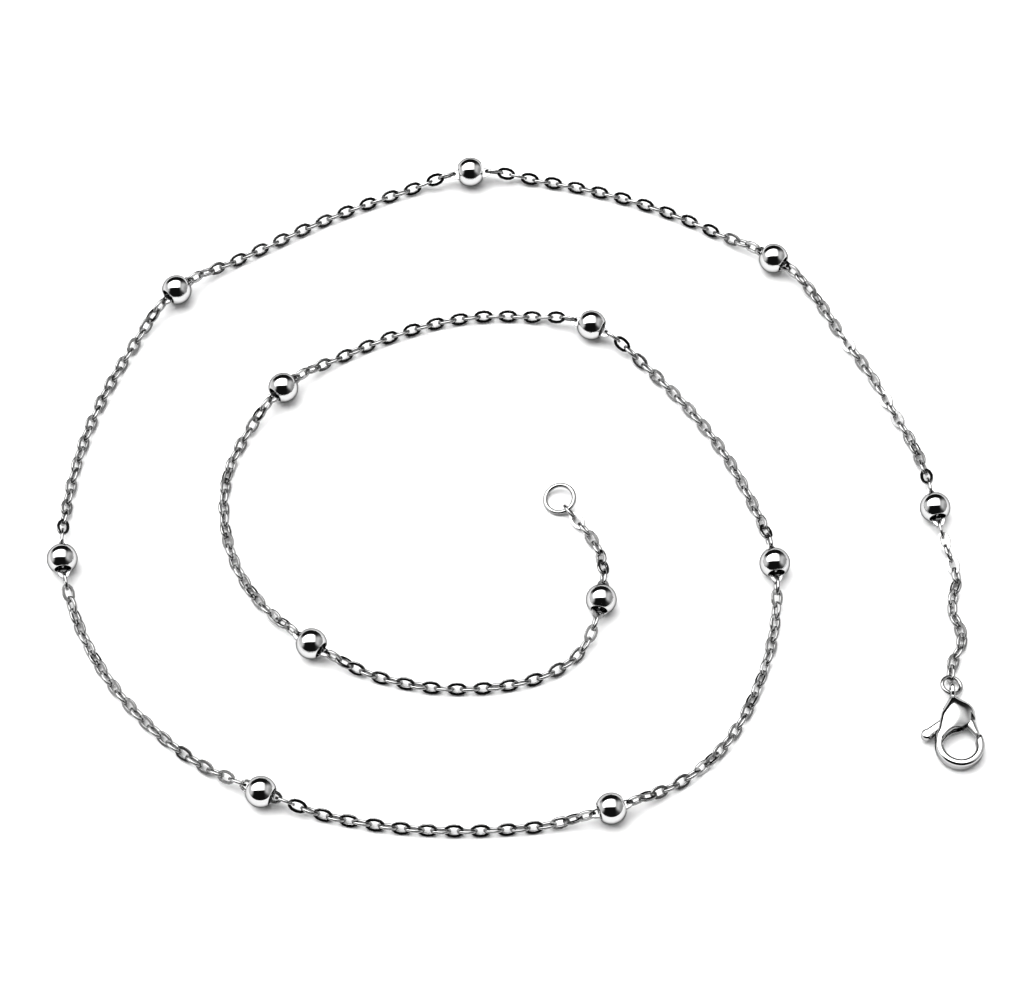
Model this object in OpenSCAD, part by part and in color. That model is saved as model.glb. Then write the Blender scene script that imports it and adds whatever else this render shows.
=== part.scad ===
// Necklace of a fine steel cable chain with round steel beads at even stations along it.
// It lies open on a table in a spiral, with a lobster claw clasp at its outer end and a
// plain ring at its inner end. Millimetres, +Z up, the table is z = 0, and the origin is
// on the table under the middle of the outline.

/* [Chain] */
// Length of a link over its two ends
link_len = 2.64; // [2.6:0.01:2.68]
// Width of a link
link_w = 1.7; // [1.68:0.01:1.76]
// Thickness of the wire that a link is bent from
link_wire = 0.42; // [0.38:0.01:0.43]
// Play between the wires of two links that pull on each other
link_gap = 0.15; // [0.12:0.01:0.16]
// Steepest roll of a link that lies on the table, in degrees
roll_max = 63; // [60:1:66]

/* [Beads] */
// Diameter of a bead
bead_d = 4; // [3.8:0.1:4.2]
// Play all round between a bead's drilling and the links that run through it
bead_play = 0.18; // [0.16:0.01:0.22]
// Links from one bead to the next
links_between = 27; // [26:1:28]
// Links from the clasp's ring to the first bead
links_to_clasp = 15; // [14:1:16]
// Links from the last bead to the end ring
links_to_ring = 9; // [8:1:10]

/* [Rings] */
// Outer diameter of the end ring, which the clasp hooks into
ring_od = 4.45; // [4.3:0.05:4.8]
// Thickness of the end ring's wire
ring_wire = 0.6; // [0.5:0.02:0.62]
// Outer diameter of the ring that joins the chain to the clasp
jump_od = 3; // [2.9:0.02:3.1]
// Thickness of that ring's wire
jump_wire = 0.5; // [0.44:0.02:0.52]

/* [Clasp] */
// Thickness of the clasp's body, as it lies flat
clasp_t = 2.4; // [2.36:0.02:2.6]
// Thickness of the lever
lever_t = 1.2; // [1:0.05:1.2]
// Clearance round the lever, its pin and its end
lever_gap = 0.1; // [0.08:0.01:0.12]
// Outer radius of the hook
hook_r = 3.1; // [3:0.02:3.12]
// Width of the hook's bar
hook_w = 1; // [0.9:0.02:1.04]
// Height of the hook's bar
hook_t = 1.7; // [1.4:0.05:1.8]
// How far the lever swings open, in degrees
lever_swing = 28; // [20:1:28]
// Position of the lever: 0 is shut
lever_open = 0; // [0:1:28]

/* [Hidden] */
BEADS = 12;
// Stretches of the chain that are plain cords, next to each other.
CORDS = [6, 7, 8, 9];

function two(n) = str(n < 10 ? "0" : "", n);

// Where the necklace lies on the table, from the clasp's ring in to the end ring.
ROUTE = [
    [55.9, -27.9], [56.2, -25.9], [57.8, -22.3], [56.6, -18.0], [57.6, -13.4], [56.2, -8.7],
    [55.3, -4.1], [53.8, 4.4], [51.0, 11.0], [47.6, 18.2], [44.2, 24.0], [41.0, 30.0],
    [36.3, 34.8], [23.6, 42.7], [9.4, 47.8],
    [-5.3, 49.7], [-19.3, 45.4], [-32.6, 38.6],
    [-45.4, 30.2], [-52.9, 17.8], [-57.4, 3.5],
    [-58.2, -11.6], [-53.2, -25.4], [-43.9, -36.6],
    [-31.2, -44.6], [-17.0, -48.5], [-2.2, -49.2],
    [12.4, -46.8], [25.2, -39.4], [32.3, -26.5],
    [34.0, -12.1], [29.3, 2.7], [21.1, 15.1],
    [10.6, 24.6], [-4.0, 26.7], [-18.0, 22.7],
    [-30.7, 14.4], [-37.5, 1.5], [-35.4, -12.6],
    [-25.4, -23.9], [-12.2, -29.1], [0.4, -28.9], [8.4, -24.8],
    [11.5, -17.2], [11.3, -9.6], [7.3, -3.3]];
// Middle of the outline in the route's own coordinates.
MID = [-0.2, 0.8];
ROUTE_STEPS = 16;

// Extra roll of the links beside each bead, in degrees, from the clasp's end on.
BEAD_TWIST = [38, -30, 24, -36, 40, -22, 34, -40, 26, -34, 36, -28];
// How much the roll of the links wanders in each stretch, in degrees.
WANDER = [14, 16, 6, 7, 9, 8, 6, 16, 8, 6, 13, 8, 9];

$fn = 48;

// Chain layout: pitch, stations and height
bend_r = (link_w - link_wire) / 2;
straight = link_len - link_w;
pitch = link_len - 2 * link_wire - link_gap;
links = links_to_clasp + links_between * (BEADS - 1) + links_to_ring + 1;
first_s = link_len / 2 - link_wire - link_gap - jump_wire / 2;
last_s = link_len / 2 - link_wire - link_gap - ring_wire / 2;
chain_len = first_s + (links - 1) * pitch + last_s;
rest_h = bend_r * sin(roll_max) + link_wire / 2;
bead_bore = link_w + 2 * bead_play;
// The chain leaves a bead level, then sinks to the table over this length.
level_run = 1.9;
sink_run = 7.6;
// The extra roll beside a bead fades out between these two distances from it.
twist_from = 1.6;
twist_to = 9.5;
// The roll at the two ends of the chain fades out over this length.
end_run = 9;

last_knot = len(ROUTE) - 1;
knots = concat([2 * ROUTE[0] - ROUTE[1]], ROUTE, [2 * ROUTE[last_knot] - ROUTE[last_knot - 1]]);

function spline(a, b, c, d, t) =
    (2 * b + (c - a) * t + (2 * a - 5 * b + 4 * c - d) * t * t
    + (3 * b - a - 3 * c + d) * t * t * t) / 2;

path = concat(
    [for (i = [0:last_knot - 1], k = [0:ROUTE_STEPS - 1])
        spline(knots[i], knots[i + 1], knots[i + 2], knots[i + 3], k / ROUTE_STEPS)],
    [ROUTE[last_knot]]);
last_point = len(path) - 1;
run = [for (i = 0, s = 0; i <= last_point; i = i + 1, s = s + norm(path[min(i, last_point)] - path[i - 1])) s];
// The route is scaled a little so that it has the chain's length.
fit = chain_len / run[last_point];
table_x = [for (i = [0:last_point]) [run[i] * fit, path[i].x * fit - MID.x]];
table_y = [for (i = [0:last_point]) [run[i] * fit, path[i].y * fit - MID.y]];

function unit(v) = v / norm(v);
start_dir = unit(path[1] - path[0]);
end_dir = unit(path[last_point] - path[last_point - 1]);

// Place on the table at distance s along the chain, straight on past its ends.
function plan(s) =
    [lookup(s, table_x), lookup(s, table_y)]
    + min(s, 0) * start_dir + max(s - chain_len, 0) * end_dir;

function link_s(k) = first_s + k * pitch;
function bead_s(i) = link_s(links_to_clasp + links_between * (i - 1));
function nearest_bead(s) =
    min(max(round((s - bead_s(1)) / (links_between * pitch)), 0), BEADS - 1) + 1;
function from_bead(s) = abs(s - bead_s(nearest_bead(s)));

// Falls smoothly from 1 to 0 as x goes from a to b.
function fade(x, a, b) = let (t = min(max((x - a) / (b - a), 0), 1)) 1 - t * t * (3 - 2 * t);

function height(s) =
    rest_h + (bead_d / 2 - rest_h) * fade(from_bead(s), level_run, level_run + sink_run);
function at(s) = let (p = plan(s)) [p.x, p.y, height(s)];

// Roll of link k about the chain's line: 0 lies flat, 90 stands up.
function stretch_of(k) = min(max(floor((k - links_to_clasp) / links_between) + 2, 1), BEADS + 1);
function wander(k) =
    WANDER[stretch_of(k) - 1] * (0.6 * sin(47 * k) + 0.4 * sin(113 * k))
    * (1 - fade(min(from_bead(link_s(k)), link_s(k), chain_len - link_s(k)), 0, end_run));
function end_twist(s) =
    (45 - roll_max) * fade(s, 0, end_run) + (roll_max - 45) * fade(chain_len - s, 0, end_run);
function roll(k) =
    let (s = link_s(k))
    (k % 2 == 0 ? -45 : 45) + wander(k) + end_twist(s)
    + BEAD_TWIST[nearest_bead(s) - 1] * fade(from_bead(s), twist_from, twist_to);

// Turns x onto the direction v, keeps y level, and then rolls about that direction.
module along(p, v, turn = 0) {
    translate(p) rotate([0, -asin(v.z / norm(v)), atan2(v.y, v.x)]) rotate([turn, 0, 0]) children();
}

module link() {
    for (end = [0, 1]) {
        rotate(180 * end) translate([straight / 2, 0])
            rotate(-90) rotate_extrude(angle = 180) translate([bend_r, 0]) circle(d = link_wire);
        translate([-straight / 2, bend_r * (2 * end - 1), 0])
            rotate([0, 90, 0]) cylinder(h = straight, d = link_wire);
    }
}

// The links numbered from a to b, each hooked through the next.
module run_of_links(a, b) {
    for (k = [a:b]) {
        head = at(link_s(k) - pitch / 2);
        tail = at(link_s(k) + pitch / 2);
        along((head + tail) / 2, tail - head, roll(k)) link();
    }
}

// Plain round cord along the chain's line, with level sides, from distance a to b.
cord_d = 1.5;
CORD_SIDES = 8;
CORD_EDGE = [0, 2.2, 4.2, 6.4];
CORD_SPANS = 8;

function stations(a, b) = let (run_a = a + CORD_EDGE[3], run_b = b - CORD_EDGE[3])
    concat(
        [for (x = CORD_EDGE) a + x],
        [for (k = [1:CORD_SPANS - 1]) run_a + (run_b - run_a) * k / CORD_SPANS],
        [for (k = [3:-1:0]) b - CORD_EDGE[k]]);

module cord(a, b) {
    places = stations(a, b);
    rings = len(places);
    points = [for (s = places)
        let (p = at(s), d = unit(at(s + 0.2) - at(s - 0.2)), side = unit([-d.y, d.x, 0]),
            top = cross(d, side))
        for (j = [0:CORD_SIDES - 1])
            let (turn = 360 * (j + 0.5) / CORD_SIDES)
            p + cord_d / 2 * (side * cos(turn) + top * sin(turn))];
    walls = [for (i = [0:rings - 2], j = [0:CORD_SIDES - 1])
        let (n = (j + 1) % CORD_SIDES, a0 = i * CORD_SIDES, b0 = a0 + CORD_SIDES)
        each [[a0 + j, b0 + n, a0 + n], [a0 + j, b0 + j, b0 + n]]];
    cap_a = [for (j = [0:CORD_SIDES - 1]) j];
    cap_b = [for (j = [CORD_SIDES - 1:-1:0]) (rings - 1) * CORD_SIDES + j];
    polyhedron(points, concat(walls, [cap_a, cap_b]));
}

// Stretch i of the chain: 1 runs from the clasp to the first bead, the last one from the
// last bead to the end ring. The stretches in CORDS are plain cords.
function first_link(i) = i == 1 ? 0 : links_to_clasp + links_between * (i - 2);
module chain(i) {
    a = first_link(i);
    b = i == BEADS + 1 ? links - 1 : first_link(i + 1) - 1;
    reach = link_len / 2 + lever_gap;
    color("silver")
        if (len(search(i, CORDS)) == 0) run_of_links(a, b);
        else cord(
            i == min(CORDS) ? link_s(a - 1) + reach : link_s(a) - pitch / 2,
            i == max(CORDS) ? link_s(b + 1) - reach : link_s(b) + pitch / 2);
}

module bead(i) {
    s = bead_s(i);
    color("lightgray") along(at(s), at(s + 0.2) - at(s - 0.2)) rotate([0, 90, 0]) rotate_extrude()
        intersection() {
            circle(d = bead_d);
            translate([bead_bore / 2, -bead_d / 2]) square([bead_d / 2, bead_d]);
        }
}

module wire_ring(od, wire) {
    rotate_extrude() translate([(od - wire) / 2, 0]) circle(d = wire);
}

// The end ring leans on the chain: one side lies on the table, the other is raised.
ring_r = (ring_od - ring_wire) / 2;
ring_tilt = asin((rest_h - ring_wire / 2) / ring_r);
ring_mid = at(chain_len + ring_r);

module end_ring() {
    color("silver") along(ring_mid, [end_dir.x, end_dir.y, 0], -ring_tilt) wire_ring(ring_od, ring_wire);
}

// Clasp, in its own frame: x to the right and y up in plan, the middle of the eye at x = y = 0
// and the table at z = 0. The clasp's ring runs through the eye.
jump_r = (jump_od - jump_wire) / 2;
jump_y = -0.3;
jump_h = clasp_t / 2 - 0.15;
jump_roll = 12;
jump_pitch = asin((jump_h - rest_h) / (2 * jump_r));
clasp_at = [plan(0).x, plan(0).y - 2 * jump_r * cos(jump_pitch) - jump_y, 0];

module clasp_ring() {
    color("silver") translate(clasp_at)
        translate([0, jump_y + jump_r * cos(jump_pitch), (jump_h + rest_h) / 2])
        rotate([-jump_pitch, jump_roll, 0]) wire_ring(jump_od, jump_wire);
}

// The body is the tight skin round some cushions, each as x, y, radius in plan and its
// height as a share of the body's.
BODY_ROUNDS = [
    [0.05, -1.4, 0.6, 0.6], [0.8, -3.3, 1.9, 1], [1.8, -4.5, 0.85, 0.76], [-1.7, -6.3, 0.85, 0.8],
    [-0.25, -4, 1.75, 1]];
EYE_OUTER = [0.1, 1];
EYE_HOLE = [0.15, 0.6];
eye_t = 0.66;
hook_mid = [0.45, -7.7];
// The hook's end is cut along a line through this point, at this angle.
hook_end = [2.92, -6.5];
hook_end_turn = 50;
hook_end_back = 1.2;
// The hook's ring is left out between these two angles round its middle.
hook_mouth_turn = 31.8;
hook_root_turn = 118;

pivot = [0.83, -3];
hub_r = 0.8;
pin_r = 0.35;
// Lever, from the pivot: middle of the thumb tab's round end, and the gate's corners
tab_end = [-4.46, -3.24];
tab_end_r = 0.72;
tab_w = 1.24;
GATE = [[-0.35, -0.5], [0.62, -2.2], [1.79, -3.7], [2.27, -3.13], [1.82, -1.5], [0.6, 0.4]];
// Slot for the gate in the body, wider than the gate all round
GATE_SLOT = [[-0.46, -0.56], [1.27, -3.52], [2.5, -2.6], [2.02, -1.43], [0.71, 0.48]];
SLOT_STEPS = 4;

module body_shell() {
    translate([0, 0, clasp_t / 2]) hull() for (c = BODY_ROUNDS)
        translate([c.x, c.y, 0]) scale([1, 1, c[3] * clasp_t / 2 / c.z]) sphere(c.z, $fn = 32);
}

module slot_shape(size) {
    for (side = [-1, 1]) translate([side * size.x, 0]) circle(size.y);
    square([2 * size.x, 2 * size.y], center = true);
}

module eye() {
    translate([0, 0, clasp_t / 2]) rotate([90, 0, 90]) linear_extrude(eye_t, center = true)
        slot_shape(EYE_OUTER);
}

module hook() {
    translate([0, 0, (clasp_t - hook_t) / 2]) linear_extrude(hook_t) difference() {
        translate(hook_mid) circle(hook_r);
        translate(hook_end) rotate(hook_end_turn) translate([-hook_end_back, 0])
            square([2 * hook_r, 2 * hook_r]);
        translate(hook_mid) polygon([[0, 0], for (turn = [hook_mouth_turn, 90, hook_root_turn])
            2 * hook_r * [cos(turn), sin(turn)]]);
    }
}

module tab_bar(extra, length) {
    rotate(atan2(tab_end.y, tab_end.x)) translate([0, -tab_w / 2 - extra])
        square([length, tab_w + 2 * extra]);
}

// Room that the lever sweeps inside the body
module lever_slot() {
    translate([pivot.x, pivot.y, (clasp_t - lever_t) / 2 - lever_gap])
        linear_extrude(lever_t + 2 * lever_gap) {
            circle(hub_r + lever_gap);
            for (k = [0:SLOT_STEPS]) rotate(-lever_swing * k / SLOT_STEPS) {
                tab_bar(lever_gap - 0.02, 5);
                polygon(GATE_SLOT);
            }
        }
}

module clasp_body() {
    color("silver") translate(clasp_at) {
        difference() {
            union() {
                eye();
                body_shell();
                hook();
            }
            lever_slot();
            translate(hook_mid) cylinder(h = clasp_t, r = hook_r - hook_w);
            translate([0, 0, clasp_t / 2]) rotate([90, 0, 90])
                linear_extrude(3, center = true) slot_shape(EYE_HOLE);
        }
        translate([pivot.x, pivot.y, clasp_t / 2]) cylinder(h = lever_t + 4 * lever_gap, r = pin_r, center = true);
    }
}

module clasp_lever() {
    color("gainsboro") translate(clasp_at + [pivot.x, pivot.y, (clasp_t - lever_t) / 2])
        rotate(-lever_open) linear_extrude(lever_t) difference() {
            union() {
                circle(hub_r);
                tab_bar(0, norm(tab_end));
                translate(tab_end) circle(tab_end_r);
                polygon(GATE);
            }
            circle(pin_r + lever_gap);
        }
}

for (i = [1:BEADS]) bead(i);
for (i = [1:BEADS + 1]) chain(i);
end_ring();
clasp_ring();
clasp_body();
clasp_lever();
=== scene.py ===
"""A fine steel cable chain necklace with round beads, laid out in a spiral, as an add-on.

Each operator makes one kind of piece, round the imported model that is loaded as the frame.
Sizes are in metres, and the table is at z = 0.
"""
import math

import bpy
import numpy as np
from mathutils import Matrix, Vector


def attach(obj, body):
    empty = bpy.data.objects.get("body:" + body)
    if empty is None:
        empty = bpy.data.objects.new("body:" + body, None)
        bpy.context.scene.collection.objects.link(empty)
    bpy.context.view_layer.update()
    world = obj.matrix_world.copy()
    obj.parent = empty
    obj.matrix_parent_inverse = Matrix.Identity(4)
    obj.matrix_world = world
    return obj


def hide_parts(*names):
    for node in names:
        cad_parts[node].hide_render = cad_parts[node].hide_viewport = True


bl_info = {
    "name": "Station Bead Necklace",
    "version": (1, 0, 0),
    "blender": (4, 5, 0),
    "location": "3D View > Sidebar > Necklace",
    "description": "Cable chain with steel beads, two rings and a lobster claw clasp, laid in a spiral",
    "category": "Add Mesh",
}

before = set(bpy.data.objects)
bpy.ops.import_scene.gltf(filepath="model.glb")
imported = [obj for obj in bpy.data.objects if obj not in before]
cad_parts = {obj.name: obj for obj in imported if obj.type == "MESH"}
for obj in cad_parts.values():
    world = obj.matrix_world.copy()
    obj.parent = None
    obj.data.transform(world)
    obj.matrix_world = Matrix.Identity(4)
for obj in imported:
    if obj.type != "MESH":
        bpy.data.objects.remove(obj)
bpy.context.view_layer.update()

MM = 0.001
BODY = "necklace"
LEVER = "lever"
BEADS = 12
STRETCHES = BEADS + 1

# Where the necklace lies, from the clasp's ring in to the end ring, round its own middle.
ROUTE = [
    (0.0559, -0.0279), (0.0562, -0.0259), (0.0578, -0.0223), (0.0566, -0.0180),
    (0.0576, -0.0134), (0.0562, -0.0087),
    (0.0553, -0.0041), (0.0538, 0.0044), (0.0510, 0.0110), (0.0476, 0.0182),
    (0.0442, 0.0240), (0.0410, 0.0300),
    (0.0363, 0.0348), (0.0236, 0.0427), (0.0094, 0.0478),
    (-0.0053, 0.0497), (-0.0193, 0.0454), (-0.0326, 0.0386),
    (-0.0454, 0.0302), (-0.0529, 0.0178), (-0.0574, 0.0035),
    (-0.0582, -0.0116), (-0.0532, -0.0254), (-0.0439, -0.0366),
    (-0.0312, -0.0446), (-0.0170, -0.0485), (-0.0022, -0.0492),
    (0.0124, -0.0468), (0.0252, -0.0394), (0.0323, -0.0265),
    (0.0340, -0.0121), (0.0293, 0.0027), (0.0211, 0.0151),
    (0.0106, 0.0246), (-0.0040, 0.0267), (-0.0180, 0.0227),
    (-0.0307, 0.0144), (-0.0375, 0.0015), (-0.0354, -0.0126),
    (-0.0254, -0.0239), (-0.0122, -0.0291), (0.0004, -0.0289), (0.0084, -0.0248),
    (0.0115, -0.0172), (0.0113, -0.0096), (0.0073, -0.0033)]
ROUTE_MID = (-0.0002, 0.0008)
ROUTE_STEPS = 16

# How far a link's inner and outer sides bulge between its pressed faces, as a share of the
# wire, how squarely a face must look up or down to count as pressed, and the steps of a bend.
SIDE_BULGE = 0.1
PRESSED_FACING = 0.95
BEND_STEPS = 6
# Links lean this far from the table, in degrees, to one side and the other in turn.
LINK_LEAN = 45
# Over this length the wander dies out at beads and ends, and the end links rise to the
# steepest roll. The beads' extra roll dies out between the next two lengths.
END_RUN = 9 * MM
TWIST_FROM = 1.6 * MM
TWIST_TO = 9.5 * MM
# Extra roll of the links beside each bead, in degrees, from the clasp's end on.
BEAD_TWIST = [38, -30, 24, -36, 40, -22, 34, -40, 26, -34, 36, -28]
# How much the roll of the links wanders in each stretch, in degrees. The two waves that it is
# made of have these shares and these turns from link to link, so that it doesn't repeat.
WANDER = [14, 16, 6, 7, 9, 8, 6, 16, 8, 6, 13, 8, 9]
WANDER_WAVES = ((0.6, 47), (0.4, 113))

# Mesh steps: round a bead, along its outside and along each rim; then round each ring and
# round its wire.
BEAD_STEPS = (64, 33, 7)
END_RING_STEPS = (96, 28)
CLASP_RING_STEPS = (80, 24)

# The clasp in plan, in millimetres from the middle of its eye. Round corners of the body, as
# x, y and radius:
BODY_ROUNDS = [
    (0.05, -1.4, 0.6), (0.8, -3.3, 1.9), (1.8, -4.5, 0.85), (-1.7, -6.3, 0.85), (-0.25, -4, 1.75)]
# The body's cushion: depth inside the outline at which it has its full height, how much more
# that is on the right than on the left, the line between the two, the power by which it
# rises, and the least slope that its distance is reckoned with.
PILLOW_FULL = 1.3
PILLOW_LEAN = 0.45
PILLOW_MID = 0.4
PILLOW_RISE = 1.5
PILLOW_SLOPE = 0.45
# The hook's ring, the point and slant of its end, how far that slant reaches back, and the
# lines from its middle between which the ring is left out.
HOOK_MID = (0.45, -7.7)
HOOK_END = (2.92, -6.5)
HOOK_END_TURN = 50
HOOK_END_BACK = 1.2
HOOK_MOUTH_TURN = 31.8
HOOK_ROOT_TURN = 118
# The lever's pivot in the clasp, its hub and its pin, which ends this far inside the body.
PIVOT = (0.83, -3)
HUB_R = 0.8
PIN_R = 0.35
PIN_DEPTH = 0.3
# The lever from its pivot: thumb tab, gate, and the slot that the shut gate lies in. The slot
# is swept to the lever's full swing in these steps, in degrees, and is this much tighter
# than the lever's clearance along the tab.
TAB_END = (-4.46, -3.24)
TAB_END_R = 0.72
TAB_W = 1.24
TAB_TIGHT = 0.02
GATE = [(-0.35, -0.5), (0.62, -2.2), (1.79, -3.7), (2.27, -3.13), (1.82, -1.5), (0.6, 0.4)]
GATE_SLOT = [(-0.46, -0.56), (1.27, -3.52), (2.5, -2.6), (2.02, -1.43), (0.71, 0.48)]
LEVER_SWING = 28
SWING_STEP = 4
# Rounding of the gate's edges, and how far right of the pivot it has grown to that.
GATE_EDGE = 0.58
GATE_EDGE_AT = 0.6
# The groove in the opening's wall that the gate's slot runs into: its depth, the turn of its
# middle, and how far from the hook's middle it ends.
GROOVE_DEPTH = 0.45
GROOVE_TURN = 125
GROOVE_FROM = 1.15
# The eye is a plate that stands upright: half length of its straight part and radius, outside
# and in its hole, then its thickness and the rounding of its edges, half the length of the
# hole's drilling, and where the clasp's ring passes it: along the clasp and up, from its middle.
EYE_OUTER = (0.1, 1.0)
EYE_HOLE = (0.15, 0.6)
EYE_T = 0.66
EYE_EDGE = 0.32
EYE_DRILLING = 1.5
EYE_HOLD = (-0.3, -0.15)
# Softening in millimetres where the clasp's forms meet and where they are cut.
SOFT = {
    "opening": 0.25, "hook cut": 0.25, "hook": 0.5, "eye hole": 0.01, "eye": 0.3, "drilling": 0.15,
    "slot": 0.1, "tab end": 0.15, "gate": 0.12, "pin hole": 0.06}
# Space in which each piece of the clasp is looked for: lowest and highest corner.
BODY_SPACE = ((-2.6, -11.1, -0.2), (4.3, 1.4, 2.6))
LEVER_SPACE = ((-4.7, -7.3, 0.4), (3.9, -1.8, 2.0))

# The studio's light, by the direction that it comes from. Each soft edge has its start, its
# end and the brightness at the two. The panel's edges are given as x or y over the height,
# the walls' as the direction's x or y. Last come the dim room and the backdrop.
PANEL_ACROSS = ((-2.4, -0.9, 0, 1), (-0.1, 0.9, 1, 0))
PANEL_ALONG = ((-0.3, -0.17, 0, 1), (0.95, 1.2, 1, 0))
LEFT_WALL = (-0.68, -0.9, 0, 1)
RIGHT_WALL = ((0.4, 0.75, 0, 0.95), (0.75, 1, 1, 0.55))
WALLS_ALONG = ((-0.65, -0.22, 0.08, 1), (0.35, 0.75, 1, 0.15))
ROOM_LIGHT = 0.015
BACKDROP_LIGHT = 1.5
# The point of the table that the camera looks at, and the picture's gamma, which is below 1
# for the photograph's deep greys.
CAMERA_AIM = (0.2 * MM, -0.8 * MM)
PICTURE_GAMMA = 0.85


def size(name, description, default):
    """A length that the user can change."""
    return bpy.props.FloatProperty(
        name=name, description=description, default=default, min=0, unit="LENGTH", precision=5)


def angle(name, description, degrees):
    """An angle that the user can change."""
    return bpy.props.FloatProperty(
        name=name, description=description, default=math.radians(degrees), subtype="ANGLE")


def whole(name, description, default):
    """A number of things."""
    return bpy.props.IntProperty(name=name, description=description, default=default, min=1)


def plain(name, description, default):
    """A number without a unit."""
    return bpy.props.FloatProperty(name=name, description=description, default=default)


def colour(name, description, default):
    """A colour as an sRGB hex value."""
    return bpy.props.StringProperty(name=name, description=description, default=default)


class ChainSizes(bpy.types.PropertyGroup):
    link_len: size("Link length", "Length of a link over its two ends", 2.64 * MM)
    link_w: size("Link width", "Width of a link", 1.7 * MM)
    link_wire: size("Link wire", "Thickness of the wire that a link is bent from", 0.42 * MM)
    flat_t: size("Flattened", "Thickness over the two pressed faces of a link", 0.34 * MM)
    link_gap: size("Link play", "Play between two links that pull on each other", 0.15 * MM)
    roundness: plain("Roundness", "How far the straight sides bow out, from 0 to 1", 0.75)
    roll_max: angle("Steepest roll", "Steepest roll of a link that lies on the table", 63)
    to_clasp: whole("To clasp", "Links before the first bead", 15)
    between: whole("Between", "Links from bead to bead", 27)
    to_ring: whole("To ring", "Links after the last bead", 9)
    colour: colour("Wire colour", "Polished steel wire, sRGB", "#A0A0A0")


class BeadSizes(bpy.types.PropertyGroup):
    bead_d: size("Diameter", "Diameter of a bead", 4 * MM)
    play: size("Play", "Play between a bead's drilling and the links in it", 0.18 * MM)
    rim: size("Rim", "Rounding of the drilling's rim", 0.12 * MM)
    level_run: size("Level run", "Length over which the chain leaves a bead level", 1.9 * MM)
    sink_run: size("Sink run", "Length over which the chain then sinks to the table", 7.6 * MM)
    colour: colour("Bead colour", "Mirror polished steel, sRGB", "#CBCBCB")


class RingSizes(bpy.types.PropertyGroup):
    ring_od: size("End ring", "Outer diameter of the end ring", 4.45 * MM)
    ring_wire: size("End ring wire", "Thickness of the end ring's wire", 0.6 * MM)
    jump_od: size("Clasp ring", "Outer diameter of the ring at the clasp", 3 * MM)
    jump_wire: size("Clasp ring wire", "Thickness of that ring's wire", 0.5 * MM)
    jump_roll: angle("Clasp ring roll", "How far that ring leans to one side", 12)


class ClaspSizes(bpy.types.PropertyGroup):
    clasp_t: size("Thickness", "Thickness of the clasp's body", 2.4 * MM)
    lever_t: size("Lever", "Thickness of the lever", 1.2 * MM)
    lever_gap: size("Lever clearance", "Clearance round the lever", 0.1 * MM)
    lever_edge: size("Lever rounding", "Rounding of the lever's edges", 0.4 * MM)
    hook_r: size("Hook radius", "Outer radius of the hook", 3.1 * MM)
    hook_w: size("Hook width", "Width of the hook's bar", 1 * MM)
    hook_t: size("Hook height", "Height of the hook's bar", 1.7 * MM)
    hook_edge: size("Hook rounding", "Rounding of the hook's edges", 0.46 * MM)
    cell: size("Mesh cell", "Spacing of the mesh on the clasp", 0.06 * MM)
    colour: colour("Clasp colour", "Tumbled cast steel, sRGB", "#BFBFBF")


class StageSizes(bpy.types.PropertyGroup):
    elevation: angle("Elevation", "Height of the camera above the table", 60)
    distance: size("Distance", "Distance of the camera from the table's middle", 460.5 * MM)
    lens: plain("Lens", "Focal length in millimetres", 123.05)
    light_power: plain("Panel", "Brightness of the panel overhead", 5.0)
    floor_reach: size("Floor", "Half the width of the paper on the table", 3.0)
    paper: colour("Table colour", "White seamless paper, sRGB", "#F6F6F6")


def linear(hex_value):
    """Linear RGBA from an sRGB hex value such as #D6D5D3."""
    parts = [int(hex_value[i:i + 2], 16) / 255 for i in (1, 3, 5)]
    return [c / 12.92 if c <= 0.04045 else ((c + 0.055) / 1.055) ** 2.4 for c in parts] + [1.0]


def add(tree, kind, inputs=None, **settings):
    """Adds a node, sets it up, and fills or links its inputs."""
    node = tree.nodes.new(kind)
    for key, value in settings.items():
        setattr(node, key, value)
    for key, value in (inputs or {}).items():
        if isinstance(value, bpy.types.NodeSocket):
            tree.links.new(value, node.inputs[key])
        else:
            node.inputs[key].default_value = value
    return node


def maths_in(tree):
    """Short form of the tree's math node, which gives its result."""
    def maths(operation, a, b=0.0):
        return add(tree, "ShaderNodeMath", {0: a, 1: b}, operation=operation).outputs[0]
    return maths


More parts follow.
